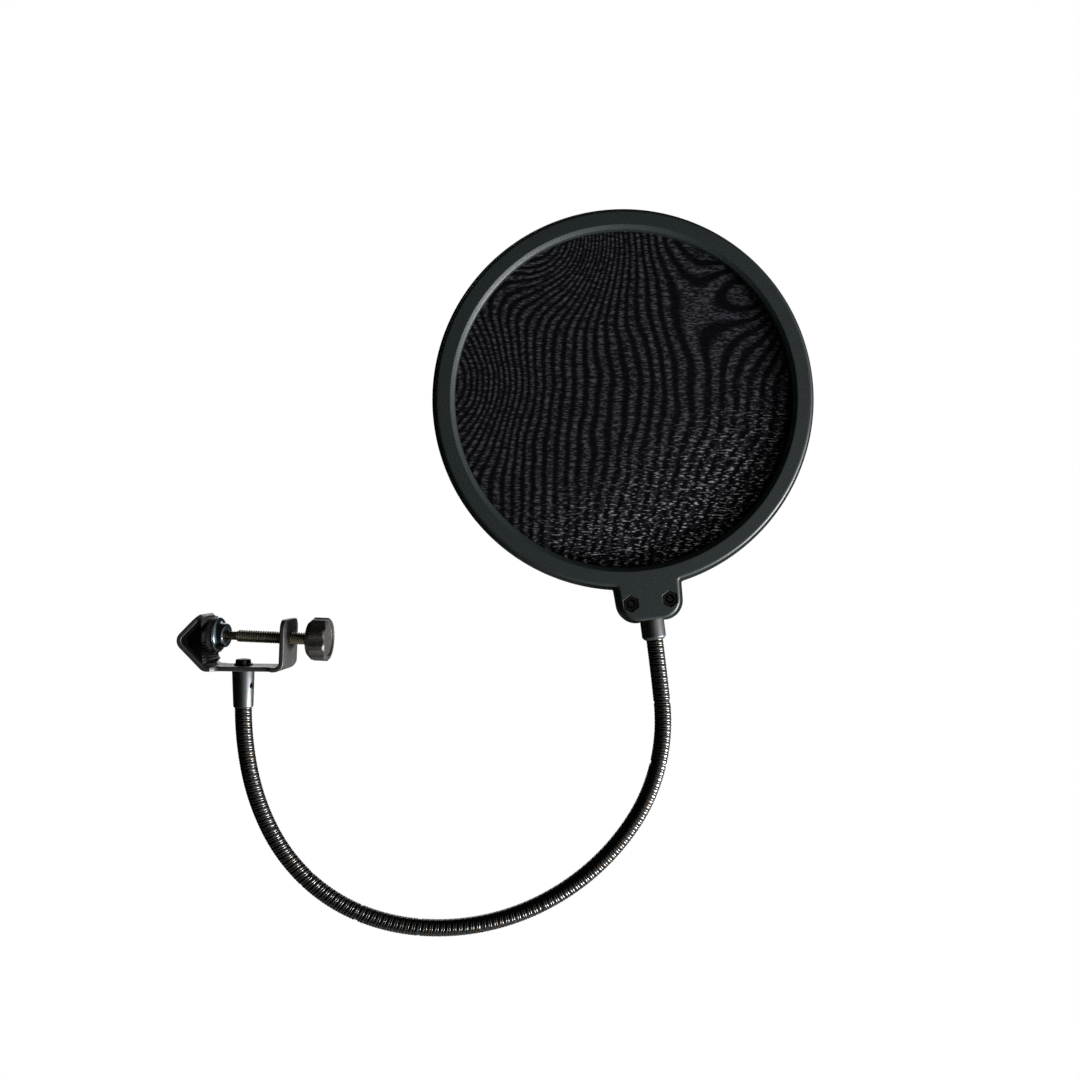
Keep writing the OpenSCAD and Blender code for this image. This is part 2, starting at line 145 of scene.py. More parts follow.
def circle(r, steps=48):
    return [(r * math.cos(TAU * k / steps), r * math.sin(TAU * k / steps)) for k in range(steps)]


def polygon(sides, across):
    """A regular polygon of that size across its flats, with slightly rounded corners."""
    r = across / 2 / math.cos(math.pi / sides)
    return fillet(circle(r, sides), [across * 0.03] * sides, 3)


def inset(outline, distance):
    """A closed outline moved inward by a short distance."""
    p = np.array(outline)
    edge = np.roll(p, -1, 0) - p
    edge /= np.linalg.norm(edge, axis=1)[:, None]
    normal = np.stack((-edge[:, 1], edge[:, 0]), 1)
    corner = normal + np.roll(normal, 1, 0)
    corner *= 2 / np.sum(corner * corner, 1)[:, None]
    x, y = p.T
    area = np.sum(x * np.roll(y, -1) - np.roll(x, -1) * y)
    return p + distance * math.copysign(1, area) * corner


class Path:
    """A rounded open path in a plane, read by its length."""

    def __init__(self, points, radii):
        self.p = np.array(fillet(points, radii, 16, closed=False))
        steps = np.linalg.norm(np.diff(self.p, axis=0), axis=1)
        self.s = np.concatenate(([0], np.cumsum(steps)))
        self.length = self.s[-1]

    def at(self, s):
        return np.array([np.interp(s, self.s, self.p[:, k]) for k in (0, 1)])

    def normal(self, s):
        ahead = self.at(min(s + 0.05, self.length)) - self.at(max(s - 0.05, 0))
        ahead /= np.linalg.norm(ahead)
        return np.array((-ahead[1], ahead[0]))


# ---- Meshes ----

def mesh_object(name, verts, faces, where, sharp=35):
    """A closed mesh in a local frame of millimetres, smooth but for its sharp edges."""
    mesh = bpy.data.meshes.new(name)
    mesh.from_pydata([tuple(v) for v in verts], [], faces)
    mesh.transform(where)
    b = bmesh.new()
    b.from_mesh(mesh)
    bmesh.ops.recalc_face_normals(b, faces=b.faces)
    b.to_mesh(mesh)
    b.free()
    obj = bpy.data.objects.new(name, mesh)
    bpy.context.collection.objects.link(obj)
    smooth(obj, sharp)
    return obj


def smooth(obj, sharp=35):
    obj.data.shade_smooth()
    obj.data.set_sharp_from_angle(angle=math.radians(sharp))


def skin(rings, loop=False, start=0):
    """Vertices and faces of a tube through closed rings: capped at both ends, or closed on itself."""
    n, m = len(rings), len(rings[0])
    verts = [p for ring in rings for p in ring]
    faces = []
    for i in range(n if loop else n - 1):
        for j in range(m):
            a, b, after = start + i * m, start + ((i + 1) % n) * m, (j + 1) % m
            faces.append((a + j, a + after, b + after, b + j))
    if not loop:
        faces.append(tuple(start + j for j in reversed(range(m))))
        faces.append(tuple(start + (n - 1) * m + j for j in range(m)))
    return verts, faces


def ring_at(x, radii):
    """A ring about the local x axis, from its radii at evenly spaced angles."""
    count = len(radii)
    return [(x, r * math.cos(TAU * k / count), r * math.sin(TAU * k / count)) for k, r in enumerate(radii)]


def lathe(name, outline, where, steps=96, loop=False):
    """A body turned about its local x axis, from the points (x, radius) of its outline."""
    return mesh_object(name, *skin([ring_at(x, [r] * steps) for x, r in outline], loop), where)


def prism(outline, x0, x1, flare=0.0, lead=0.0):
    """Rings of a prism along x, with a mouth that widens by flare over its last bit, lead."""
    rings = [[(x0, p, q) for p, q in outline], [(x1 - lead, p, q) for p, q in outline]]
    if flare:
        wide = inset(outline, -flare)
        rings += [[(x, p, q) for p, q in wide] for x in (x1, x1 + 1)]
    return rings


# Points closer than this, in metres, are made one after a cut
weld = 1e-5


def cut(obj, rings, where):
    """Takes a solid out of obj, and clears away the double points and slivers that the cut leaves."""
    tool = mesh_object("cutter", *skin(rings), where)
    change = obj.modifiers.new("cut", "BOOLEAN")
    change.operation, change.solver, change.object = "DIFFERENCE", "EXACT", tool
    graph = bpy.context.evaluated_depsgraph_get()
    mesh = bpy.data.meshes.new_from_object(obj.evaluated_get(graph))
    obj.modifiers.remove(change)
    b = bmesh.new()
    b.from_mesh(mesh)
    bmesh.ops.remove_doubles(b, verts=b.verts, dist=weld)
    bmesh.ops.dissolve_degenerate(b, edges=b.edges, dist=weld)
    b.to_mesh(mesh)
    b.free()
    obj.data = mesh
    bpy.data.objects.remove(tool)
    smooth(obj)


def along_x(where, origin, x_dir, y_dir):
    """A frame inside a local frame, with its own x and y directions."""
    x, y = Vector(x_dir).normalized(), Vector(y_dir).normalized()
    m = Matrix((x, y, x.cross(y))).transposed().to_4x4()
    m.translation = Vector(origin)
    return where @ m


def finish_piece(obj, material, body, node):
    """Gives a piece its material and its body, and puts it in the place of its CAD node."""
    obj.data.materials.clear()
    obj.data.materials.append(material)
    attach(obj, body)
    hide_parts(node)


# ---- Materials ----

class Look:
    """A node material that reads the object's own coordinates, in metres."""

    def __init__(self, name, color, roughness, metallic=0.0, specular=0.5):
        self.material = bpy.data.materials.new(name)
        self.material.use_nodes = True
        self.tree = self.material.node_tree
        self.shader = self.tree.nodes["Principled BSDF"]
        self.shader.inputs["Metallic"].default_value = metallic
        self.shader.inputs["Specular IOR Level"].default_value = specular
        self.shader.inputs["Base Color"].default_value = (*color, 1)
        self.shader.inputs["Roughness"].default_value = roughness
        self.place = self.node("ShaderNodeTexCoord").outputs["Object"]

    def node(self, kind, **values):
        n = self.tree.nodes.new(kind)
        for key, value in values.items():
            setattr(n, key, value)
        return n

    def link(self, source, socket):
        self.tree.links.new(source, socket)

    def noise(self, size_mm, detail=3.0, stretch=(1, 1, 1)):
        """Noise of about that feature size, from 0 to 1."""
        mapping = self.node("ShaderNodeMapping")
        mapping.inputs["Scale"].default_value = stretch
        self.link(self.place, mapping.inputs["Vector"])
        n = self.node("ShaderNodeTexNoise")
        n.inputs["Scale"].default_value = 1 / (size_mm * MM)
        n.inputs["Detail"].default_value = detail
        self.link(mapping.outputs["Vector"], n.inputs["Vector"])
        return n.outputs["Fac"]

    def math(self, operation, a, b=0.0, c=0.0):
        n = self.node("ShaderNodeMath", operation=operation)
        for socket, value in zip(n.inputs, (a, b, c)):
            if isinstance(value, (int, float)):
                socket.default_value = value
            else:
                self.link(value, socket)
        return n.outputs[0]

    def total(self, *terms):
        out = terms[0]
        for term in terms[1:]:
            out = self.math("ADD", out, term)
        return out

    def ramp(self, source, low, high, to_low=0.0, to_high=1.0):
        """A smooth step from to_low to to_high, as the source goes from low to high."""
        n = self.node("ShaderNodeMapRange", interpolation_type="SMOOTHSTEP")
        self.link(source, n.inputs["Value"])
        for key, value in (("From Min", low), ("From Max", high), ("To Min", to_low), ("To Max", to_high)):
            n.inputs[key].default_value = value
        return n.outputs["Result"]

    def mix(self, share, a, b):
        """Colour a where share is 0, colour b where it is 1."""
        n = self.node("ShaderNodeMix", data_type="RGBA")
        self.link(share, n.inputs["Factor"])
        # The colour sockets share the names A and B with others, so they go by number
        for socket, value in ((n.inputs[6], a), (n.inputs[7], b)):
            if isinstance(value, tuple):
                socket.default_value = (*value, 1)
            else:
                self.link(value, socket)
        return n.outputs[2]

    def color(self, source):
        self.link(source, self.shader.inputs["Base Color"])

    def rough(self, source):
        self.link(source, self.shader.inputs["Roughness"])

    def bump(self, height, depth_mm):
        n = self.node("ShaderNodeBump")
        n.inputs["Distance"].default_value = depth_mm * MM
        n.inputs["Strength"].default_value = 1.0
        self.link(height, n.inputs["Height"])
        self.link(n.outputs["Normal"], self.shader.inputs["Normal"])


def shade(color, factor):
    return tuple(factor * c for c in color)


def spark_plastic(name, color, roughness, grain_mm, depth_mm):
    """Moulded plastic with the fine grain of a spark-eroded tool, and paler flecks on its high spots."""
    look = Look(name, color, roughness, specular=0.4)
    grain = look.noise(grain_mm, 2.0)
    cloud = look.noise(14, 3.0)
    tone = look.mix(look.ramp(grain, 0.4, 0.7), shade(color, 0.6), shade(color, 2.4))
    look.color(look.mix(look.ramp(cloud, 0.35, 0.65, 0, 0.4), tone, shade(color, 1.3)))
    look.rough(look.ramp(grain, 0.3, 0.7, roughness + 0.06, roughness - 0.06))
    look.bump(grain, depth_mm)
    return look.material


def plated(name, color, roughness, stretch=(1, 1, 1), tint=(0.10, 0.075, 0.05)):
    """Dark plated metal: polished, with faint drawn marks and warm stains."""
    look = Look(name, color, roughness, metallic=1.0)
    marks = look.noise(0.5, 2.0, stretch)
    stain = look.noise(5, 3.0)
    look.color(look.mix(look.ramp(stain, 0.45, 0.75, 0, 0.6), color, tint))
    look.rough(look.ramp(marks, 0.25, 0.75, roughness - 0.04, roughness + 0.1))
    look.bump(marks, 0.004)
    return look.material


def coated(name, color, roughness):
    """Satin powder coat: orange peel, and slightly worn, paler high spots."""
    look = Look(name, color, roughness, specular=0.5)
    peel = look.noise(0.6, 2.0)
    wear = look.noise(3.5, 4.0)
    look.color(look.mix(look.ramp(wear, 0.5, 0.75, 0, 0.5), color, shade(color, 1.8)))
    look.rough(look.ramp(wear, 0.3, 0.7, roughness - 0.05, roughness + 0.08))
    look.bump(peel, 0.02)
    return look.material


def moulded_rubber(name, color, roughness, grain_mm):
    """Matt rubber with a coarse grain and patches of paler dust."""
    look = Look(name, color, roughness, specular=0.3)
    grain = look.noise(grain_mm, 4.0)
    dust = look.noise(2.2, 4.0)
    look.color(look.mix(look.ramp(dust, 0.5, 0.8, 0, 0.6), color, shade(color, 2.2)))
    look.rough(look.ramp(grain, 0.3, 0.7, roughness - 0.08, roughness + 0.08))
    look.bump(grain, 0.06)
    return look.material


hoop_plastic = spark_plastic("hoop_plastic", (0.008, 0.012, 0.012), 0.46, 0.5, 0.08)
knob_plastic = spark_plastic("knob_plastic", (0.026, 0.0245, 0.022), 0.42, 0.5, 0.02)
neck_steel = plated("neck_steel", (0.062, 0.064, 0.065), 0.2, tint=(0.085, 0.062, 0.036))
ferrule_steel = plated("ferrule_steel", (0.078, 0.085, 0.092), 0.36, (1, 1, 0.06))
shoe_steel = plated("shoe_steel", (0.16, 0.2, 0.23), 0.24)
screw_steel = plated("screw_steel", (0.34, 0.31, 0.24), 0.27, tint=(0.2, 0.14, 0.06))
fastener_steel = plated("fastener_steel", (0.028, 0.028, 0.03), 0.3)
bracket_coat = coated("bracket_coat", (0.036, 0.035, 0.033), 0.36)
grip_rubber = moulded_rubber("grip_rubber", (0.012, 0.012, 0.012), 0.62, 0.5)
pad_rubber = moulded_rubber("pad_rubber", (0.055, 0.05, 0.048), 0.5, 0.35)


# ---- Hoops ----

clear_r = 69.0
lip_r = 70.75
lip_depth = 1.12
face_round = 1.2
screen_seat = 1.2
tab_half = 11.9
tab_taper = 1.2
tab_reach = 92.0
tab_corner = 8.0
tab_root = 0.9
tab_screw_x = 8.0
tab_screw_y = 83.4
tang_r = 4.95
tang_l = 14.1
bolt_hole_r = 1.6
nut_af = 5.5
pocket_af, pocket_depth, pocket_mouth = 5.9, 3.6, 0.22
head_hole_r, head_hole_depth, head_hole_mouth = 3.2, 2.4, 0.25


def tab_outline(radius, half, reach):
    """Outline of a hoop with its tab: x to the right, y down the tab."""
    top, low = np.array((half + tab_taper, clear_r + 4)), np.array((half, reach - tab_corner))
    shares = np.linspace(0, 1, 2001)
    line = top + shares[:, None] * (low - top)
    root = line[np.argmin(abs(np.linalg.norm(line, axis=1) - radius))]
    angle = math.atan2(root[0], root[1])
    rim_steps = 260
    rim = [(-radius * math.sin(a), radius * math.cos(a))
           for a in np.linspace(angle, TAU - angle, rim_steps + 1)[1:-1]]
    corners = [tuple(root), (half, reach), (-half, reach), (-root[0], root[1])]
    return fillet(corners + rim, [tab_root, tab_corner, tab_corner, tab_root] + [0] * len(rim), 10)


def hoop_half(name, radius, half, reach, side):
    """One moulded half of the hoop. side is -1 for the front half and 1 for the rear one."""
    outline = tab_outline(radius, half, reach)
    bearing = [math.atan2(p[0], p[1]) for p in outline]
    # A row of points just before the round edge, and one just after it, keep its shading to itself
    rows = [(np.array(outline), 0), (np.array(outline), hoop_depth - face_round - 0.3)]
    for a in np.radians(np.linspace(0, 90, 7)):
        edge_row = inset(outline, face_round * (1 - math.cos(a)))
        rows.append((edge_row, hoop_depth - face_round * (1 - math.sin(a))))
    rows.append((inset(outline, face_round + 0.3), hoop_depth))
    lip = fillet([(lip_r + 0.6, hoop_depth), (lip_r, hoop_depth), (clear_r, hoop_depth - lip_depth),
                  (clear_r, screen_seat)], [0, 0.35, 0.5, 0], 4, closed=False)
    groove = [(screen_r + 0.2, screen_seat), (screen_r + 0.2, 0)]
    for r, z in lip + groove:
        rows.append((np.array([(r * math.sin(a), r * math.cos(a)) for a in bearing]), z))
    rings = [[(x, y, side * z) for x, y in row] for row, z in rows]
    obj = mesh_object(name, *skin(rings, loop=True), HOOP)
    channel = along_x(HOOP, (0, tab_reach - tang_l, 0), (0, 1, 0), (1, 0, 0))
    cut(obj, prism(circle(tang_r + 0.1, 64), 0, reach - tab_reach + tang_l, 0.3, 0.3), channel)
    if side < 0:
        seat, depth, mouth = polygon(6, pocket_af), pocket_depth, pocket_mouth
    else:
        seat, depth, mouth = circle(head_hole_r, 64), head_hole_depth, head_hole_mouth
    for x in (-tab_screw_x, tab_screw_x):
        bolt = along_x(HOOP, (x, tab_screw_y, 0), (0, 0, side), (0, 1, 0))
        cut(obj, prism(circle(bolt_hole_r), -1, hoop_depth + 1), bolt)
        cut(obj, prism(seat, hoop_depth - depth, hoop_depth, mouth, mouth), bolt)
    return obj


front_hoop = hoop_half("hoop_front", front_r, tab_half, tab_reach - 1, -1)
finish_piece(front_hoop, hoop_plastic, "head", "front_hoop")
rear_hoop = hoop_half("hoop_rear", rear_r, tab_half + rear_r - front_r, tab_reach, 1)
finish_piece(rear_hoop, hoop_plastic, "head", "rear_hoop")


# ---- Screens ----

def woven_nylon(name):
    """Black woven nylon. Its threads beat with those of the layer behind, so that rows of pale
    bands fan out from the top, close round the edges and cross the fine dashes of the threads."""
    look = Look(name, (0.004, 0.004, 0.005), 0.62, specular=0.03)
    split = look.node("ShaderNodeSeparateXYZ")
    look.link(look.place, split.inputs["Vector"])
    opening = clear_r * MM
    u = look.math("MULTIPLY_ADD", split.outputs["X"], 1 / opening, -hoop_at.x / opening)
    v = look.math("MULTIPLY_ADD", split.outputs["Z"], 1 / opening, -hoop_at.z / opening)

    def hill(at_u, at_v, width, height):
        """A smooth hill round a point, or a dip if height is below 0. The bands close round it."""
        du, dv = look.math("SUBTRACT", u, at_u), look.math("SUBTRACT", v, at_v)
        away = look.math("MULTIPLY_ADD", du, du, look.math("MULTIPLY", dv, dv))
        fall = look.math("EXPONENT", look.math("MULTIPLY", away, -1 / width ** 2))
        return look.math("MULTIPLY", fall, height)

    def bands(*phases):
        """A wave from 0 to 1, whose phase in turns is the sum of the phases."""
        wave = look.math("SINE", look.math("MULTIPLY", look.total(*phases), TAU))
        return look.math("MULTIPLY_ADD", wave, 0.5, 0.5)

    drift = look.noise(24, 1.0)
    bend = look.math("SQRT", look.math("MULTIPLY_ADD", v, v, 0.1))
    fan = look.math("MULTIPLY", bend, look.math("MULTIPLY_ADD", u, 7, 3.2))
    upright = bands(look.math("MULTIPLY", u, 10), fan, look.math("MULTIPLY", drift, 1.4),
                    hill(-0.45, 1.0, 0.36, -12), hill(0.85, 0.68, 0.34, -9), hill(-1.05, 0.1, 0.4, -9))
    level = bands(look.math("MULTIPLY", v, 26), look.math("MULTIPLY", drift, 3.5),
                  hill(-0.1, 0.75, 0.5, -3), hill(0.9, 0.1, 0.5, -4), hill(-0.9, -0.2, 0.5, -3))
    dash = look.noise(0.62, 1.0, (0.3, 1, 1))
    pale = look.math("MULTIPLY", look.ramp(upright, 0.1, 1, 0.06, 1),
                     look.math("MULTIPLY_ADD", level, 0.5, 0.5))
    pale = look.math("MULTIPLY", pale, look.ramp(dash, 0.4, 0.64, 0.12, 1))
    # Painted glints: pale highlights of the threads, painted into the colour and stronger towards the lower
    # right, where the light falls on the cloth
    painted_glint_lower_right = look.ramp(look.math("MULTIPLY_ADD", v, -0.8, look.math("MULTIPLY", u, 0.45)), 0.15, 1.0)
    painted_glint = look.math("MULTIPLY", look.ramp(dash, 0.58, 0.72), painted_glint_lower_right)
    painted_glint = look.math("MULTIPLY", painted_glint, look.math("MULTIPLY_ADD", upright, 0.5, 0.5))
    tone = look.mix(pale, (0.001, 0.0012, 0.0018), (0.056, 0.056, 0.069))
    look.color(look.mix(painted_glint, tone, (0.62, 0.6, 0.62)))
    look.bump(dash, 0.08)
    return look.material


cloth = woven_nylon("cloth")
cloth_t = 0.2


def screen(name, node):
    """A stretched disc of cloth in the plane of its CAD node."""
    steps, rings = 180, 24
    centre = Vector((hoop_at.x, middle(node).y, hoop_at.z))
    where = place(centre, HOOP.col[0].xyz / MM, HOOP.col[1].xyz / MM, Y)
    verts = [(0, 0, 0)]
    faces = []
    for i in range(1, rings + 1):
        verts += [(x, y, 0) for x, y in circle((screen_r - 0.05) * i / rings, steps)]
    for k in range(steps):
        faces.append((0, 1 + k, 1 + (k + 1) % steps))
        for i in range(rings - 1):
            a, b = 1 + i * steps, 1 + (i + 1) * steps
            faces.append((a + k, b + k, b + (k + 1) % steps, a + (k + 1) % steps))
    obj = mesh_object(name, verts, faces, where)
    thick = obj.modifiers.new("cloth", "SOLIDIFY")
    thick.thickness, thick.offset = cloth_t * MM, 0
    finish_piece(obj, cloth, "head", node)


screen("screen_front", "front_screen")
screen("screen_rear", "rear_screen")

# Three small parts that are all but hidden keep their CAD meshes
for node, material in (("spacer_ring", hoop_plastic), ("ball_tip", screw_steel),
                       ("grub_screw", fastener_steel)):
    frame["nodes"][node].data.materials.clear()
    frame["nodes"][node].data.materials.append(material)


# ---- Tab hardware ----

def nut(name, where, x0, x1, bore):
    """A hexagon nut with its corners chamfered at both faces, and its bore at both ends."""
    count, corner_cut, bore_cut = 96, 0.3, 0.35
    corner = nut_af / 2 / math.cos(TAU / 12)
    flats = [nut_af / 2 / math.cos((TAU * k / count) % (TAU / 6) - TAU / 12) for k in range(count)]

    def hexagon(x, share):
        """The hexagon's ring, cut back to that share of its corners' radius."""
        return ring_at(x, [min(flat, corner * share) for flat in flats])

    def hole(x, r):
        return ring_at(x, [r] * count)

    rings = [hole(x0 + bore_cut, bore), hole(x0, bore + bore_cut), hexagon(x0, 0.93),
             hexagon(x0 + corner_cut, 1.0), hexagon(x1 - corner_cut, 1.0), hexagon(x1, 0.93),
             hole(x1, bore + bore_cut), hole(x1 - bore_cut, bore)]
    return mesh_object(name, *skin(rings, loop=True), where, 25)


def join(name, parts):
    """One object from several that were just made."""
    b = bmesh.new()
    for p in parts:
        b.from_mesh(p.data)
        bpy.data.objects.remove(p)
    mesh = bpy.data.meshes.new(name)
    b.to_mesh(mesh)
    b.free()
    obj = bpy.data.objects.new(name, mesh)
    bpy.context.collection.objects.link(obj)
    smooth(obj, 25)
    return obj


tab_screw_r, tab_screw_tip, point_l = 1.5, 1.0, 0.45
tab_head_r, tab_head_l, tab_head_round = 2.8, 1.8, 0.9
cross_turn, cross_depth = 20, 1.0
cross_slot = [(-1.4, -0.3), (1.4, -0.3), (1.4, 0.3), (-1.4, 0.3)]
tip, head = -hoop_depth + 0.8, hoop_depth - head_hole_depth
nuts, tab_screws = [], []
for x in (-tab_screw_x, tab_screw_x):
    bolt = along_x(HOOP, (x, tab_screw_y, 0), (0, 0, 1), (0, 1, 0))
    nuts.append(nut("nut", bolt, -hoop_depth + 1.1, -hoop_depth + 3.5, tab_screw_r))
    outline = [(tip, 0.6), (tip, tab_screw_tip), (tip + point_l, tab_screw_r), (head, tab_screw_r),
               (head, tab_head_r)]
    outline += fillet([(head, tab_head_r), (head + tab_head_l, tab_head_r), (head + tab_head_l, 0.8)],
                      [0, tab_head_round, 0], 6, closed=False)
    one = lathe("tab_screw", outline, bolt, 64)
    for turn in (0, 90):
        slot_at = bolt @ Matrix.Rotation(math.radians(turn + cross_turn), 4, "X")
        cut(one, prism(cross_slot, head + tab_head_l - cross_depth, head + 3), slot_at)
    tab_screws.append(one)
finish_piece(join("tab_nut_pair", nuts), fastener_steel, "head", "tab_nuts")
finish_piece(join("tab_screw_pair", tab_screws), fastener_steel, "head", "tab_screws")

# ---- Ferrules ----

ferrule_l = (post.z - pivots[0].z) / MM
DOWN = along_x(POST, (0, 0, 0), (0, 0, -1), (1, 0, 0))
neck_hole = 3.56
bolt_room, bolt_hole = 7.0, 2.2
ferrule_gap, ferrule_top_r, ferrule_foot_r = 0.06, 4.55, 4.05
outline = fillet([(ferrule_gap, bolt_hole), (ferrule_gap, ferrule_top_r), (ferrule_l, ferrule_foot_r),
                  (ferrule_l, neck_hole), (bolt_room, neck_hole), (bolt_room, bolt_hole)],
                 [0.1, 0.45, 0.4, 0.15, 0, 0], 5)
lower_ferrule = lathe("ferrule_lower", outline, DOWN, loop=True)
grub_turn, grub_drop, grub_r, grub_mouth = math.radians(-25), 6.3, 1.27, 0.12
grub_dir = (math.cos(grub_turn), math.sin(grub_turn), 0)
GRUB = along_x(POST, (0, 0, -grub_drop), grub_dir, (0, 0, 1))
cut(lower_ferrule, prism(circle(grub_r, 40), 3.0, 4.4, grub_mouth, grub_mouth), GRUB)
finish_piece(lower_ferrule, ferrule_steel, "swivel", "bottom_ferrule")

hoop_to_neck = tab_reach + 7.4
TANG = along_x(HOOP, (0, hoop_to_neck, 0), (0, -1, 0), (1, 0, 0))
neck_grip, tang_end = 7.0, 21.4
outline = fillet([(neck_grip, 0.5), (neck_grip, neck_hole), (0, neck_hole), (0, 4.0), (1.1, tang_r),
                  (tang_end, tang_r), (tang_end, 0.5)], [0, 0, 0.12, 0.3, 0.8, 0.3, 0], 5, closed=False)
finish_piece(lathe("ferrule_upper", outline, TANG), ferrule_steel, "head", "top_ferrule")


# ---- Neck: a round wire and a wedge wire, wound together ----

wire_pitch = 2.44
neck_r = 3.5


class Neck:
    """The neck's centreline: an arc from each pivot to the next, and straight inside both ferrules."""

    def __init__(self):
        self.heading = [0.0]
        for a, b in zip(pivots, pivots[1:]):
            chord = math.atan2(b.x - a.x, a.z - b.z) % TAU
            self.heading.append(2 * chord - self.heading[-1])
        self.heading.append(math.atan2(-tab_dir.x, tab_dir.z) % TAU)
        half = (self.heading[1] - self.heading[0]) / 2
        self.section = (pivots[1] - pivots[0]).length / math.sin(half) * half / MM
        self.length = self.section * len(pivots)

    def at(self, s):
        """Place, direction and in-plane normal at s millimetres from the lower ferrule's end."""
        k = min(max(int(s // self.section), 0), len(pivots) - 1)
        f = min(max(s / self.section - k, 0), 1)
        h0, bend = self.heading[k], self.heading[k + 1] - self.heading[k]
        start = np.array(pivots[k]) / MM
        turn = f * bend
        if turn > 1e-6:
            chord = 2 * self.section / bend * math.sin(turn / 2)
            start = start + chord * np.array((math.sin(h0 + turn / 2), 0, -math.cos(h0 + turn / 2)))
        h = h0 + turn
        ahead = np.array((math.sin(h), 0, -math.cos(h)))
        beyond = s if s < 0 else max(s - self.length, 0)
        return start + beyond * ahead, ahead, np.array((math.cos(h), 0, math.sin(h)))


neck = Neck()
round_wire_r = 0.6
round_wire = arc((neck_r - round_wire_r, 0), round_wire_r, 0, 324, 9)
# One flank of the wedge wire, as radius and distance along the neck, from its crest to its root
flank = [(3.45, 0.35), (3.40, 0.62), (3.28, 0.74), (3.05, 0.66), (2.3, 0.12)]
wedge_wire = [(3.46, 0.0)] + flank + [(r, -b) for r, b in reversed(flank)]
wire_steps = 36

ball_r = 3.15
ball_steps = 24
plug_r, plug_l = 2.6, 3.2
# A section's wires stop this far from its hinges
section_gap = 0.3


def ball_rings(s):
    """The plug in a section's end, with the ball that the next section turns on."""
    centre, ahead, side = neck.at(s)
    around = [math.cos(a) * np.array((0, -1, 0)) + math.sin(a) * side
              for a in np.arange(ball_steps) * TAU / ball_steps]
    root = math.degrees(math.asin(plug_r / ball_r))
    outline = [(-plug_l, plug_r - 0.2), (-plug_l + 0.2, plug_r)]
    outline += [(-ball_r * math.cos(t), ball_r * math.sin(t))
                for t in np.radians(np.linspace(root, 168, 11))]
    return [[tuple(centre + x * ahead + r * out) for out in around] for x, r in outline]


def coil(name, start, end, hinge):
    """Both wires of the neck from start to end along it, and the ball at its far hinge, if it has one."""
    shells = []
    for profile, lag in ((round_wire, 0.0), (wedge_wire, 0.5)):
        count = round((end - start) / wire_pitch * wire_steps)
        rings = []
        for s in np.linspace(start, end, count + 1):
            centre, ahead, side = neck.at(s)
            a = TAU * (s / wire_pitch + lag)
            out = math.cos(a) * np.array((0, -1, 0)) + math.sin(a) * side
            rings.append([tuple(centre + r * out + b * ahead) for r, b in profile])
        shells.append(rings)
    if hinge is not None:
        shells.append(ball_rings(hinge))
    verts, faces = [], []
    for rings in shells:
        v, f = skin(rings, start=len(verts))
        verts += v
        faces += f
    return mesh_object(name, verts, faces, Matrix.Scale(MM, 4), 40)


# How far the wires go on inside both ferrules
tucked = 5
last = len(chain) - 1
for k, body in enumerate(chain):
    hinge = None if k == last else (k + 1) * neck.section
    start = -tucked if k == 0 else k * neck.section + section_gap
    end = neck.length + tucked if k == last else hinge - section_gap
    piece = coil(f"neck_coil_{k:02d}", start, end, hinge)
    finish_piece(piece, neck_steel, body, f"neck_{k + 1:02d}")


# ---- Clamp ----

strap_t = 1.9
liner_t = 1.5
jaw_w = 20.0
base_w = 15.0
bend_r = 2.2
jaw_leg = 15.2
valley_h = -base_z / MM
corner_x = -Vector((post.x, post.y)).length / MM - (strap_t + liner_t) * math.sqrt(2)
arm_x = 17.7
arm_top = 21.2
arm_lean = math.asin(-screw_dir.z)
arm_corner = 4.0
edge = 0.4
diagonal = np.array((math.cos(math.pi / 4), math.sin(math.pi / 4)))


def strap(name, path, stations, half_width):
    """A bent strip of sheet with softened edges, as wide as half_width says at each station."""
    rings = []
    for s in stations:
        end = min(s, path.length - s)
        less = edge - math.sqrt(max(edge ** 2 - max(edge - end, 0) ** 2, 0))
        p, n = path.at(s), path.normal(s)
        w, t = half_width(s) - less, strap_t / 2 - less
        ring = fillet([(-w, -t), (w, -t), (w, t), (-w, t)], [min(edge, t / 1.05)] * 4, 4)
        rings.append([(p[0] + n[0] * m, y, p[1] + n[1] * m) for y, m in ring])
    return mesh_object(name, *skin(rings), CLAMP, 30)


def end_rows(length, step):
    """Stations along a path, close together near its ends."""
    ends = [0, 0.05, 0.15, 0.3, 0.45] + list(np.arange(0.7, 4.4, 0.25))
    inside = list(np.arange(ends[-1] + step, length - ends[-1], step))
    return ends + inside + [length - e for e in reversed(ends)]


def rounded_end(s, length, half, corner):
    """Half the width of a strip of that length, with rounded corners at both ends."""
    short = max(corner - min(s, length - s), 0)
    return half - corner + math.sqrt(max(corner ** 2 - short ** 2, 0))


fold = np.array((corner_x + strap_t / 2 * math.sqrt(2), valley_h))
foot = fold + (valley_h - strap_t / 2) * np.array((1, -1))
knee = np.array((arm_x + strap_t / 2 + strap_t / 2 * math.tan(arm_lean), strap_t / 2))
strap_path = Path([fold + (jaw_leg - strap_t / 2) * diagonal, fold, foot, knee,
                   knee + (arm_top - strap_t / 2) * np.array((math.tan(arm_lean), 1))],
                  [0] + [bend_r + strap_t / 2] * 3 + [0])
foot_x = corner_x + valley_h
waist_mid, waist_half = (arm_x + foot_x) / 2, (arm_x - strap_t - foot_x - 5) / 2


def bracket_half_width(s):
    half = rounded_end(s, strap_path.length, jaw_w / 2, arm_corner)
    x, z = strap_path.at(s)
    dip = (jaw_w - base_w) / 2
    inside = min(max(waist_half - abs(x - waist_mid), 0), dip) if z < strap_t else 0
    return half - math.sqrt(dip ** 2 - (dip - inside) ** 2)


